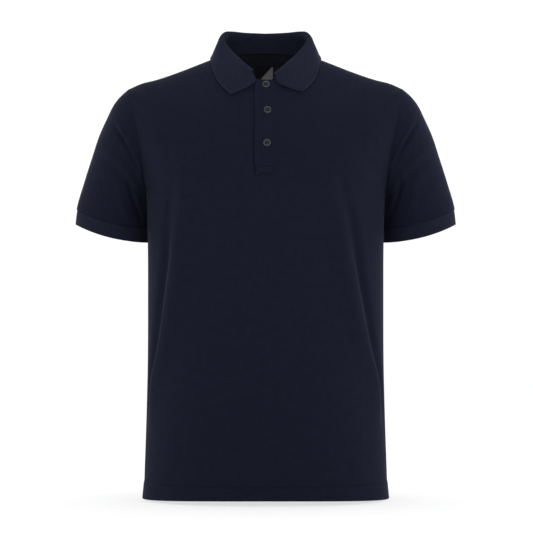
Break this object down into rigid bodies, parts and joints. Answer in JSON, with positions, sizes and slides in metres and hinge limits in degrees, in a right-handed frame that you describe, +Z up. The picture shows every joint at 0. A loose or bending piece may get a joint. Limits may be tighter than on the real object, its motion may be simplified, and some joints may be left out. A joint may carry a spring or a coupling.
{
  "type": "polo shirt",
  "caption": "Men's short-sleeved polo shirt in navy pique, hollow in its worn shape, with a folded rib collar, buttoned placket and rib cuffs.",
  "frame": {"origin": "midway between the two neck points, at their height, where the wearer's neck and shoulders hold the shirt up", "axes": "+Z up, -Y out of the front, +X to the wearer's left"},
  "size_m": [0.616, 0.2389, 0.7558],
  "materials": {
    "pique_navy": "matte navy cotton pique",
    "rib_navy": "matte navy flat-knit rib",
    "button_plastic": "satin charcoal, slightly worn",
    "label_grey": "plain woven grey"
  },
  "bodies": {
    "root": {"front": "pique_navy", "back": "pique_navy", "sleeve_left": "pique_navy", "sleeve_right": "pique_navy", "cuff_left": "rib_navy", "cuff_right": "rib_navy", "collar": "rib_navy", "placket_upper": "pique_navy", "placket_under": "pique_navy", "button_top": "button_plastic", "button_middle": "button_plastic", "button_bottom": "button_plastic", "neck_label": "label_grey"}
  },
  "joints": []
}
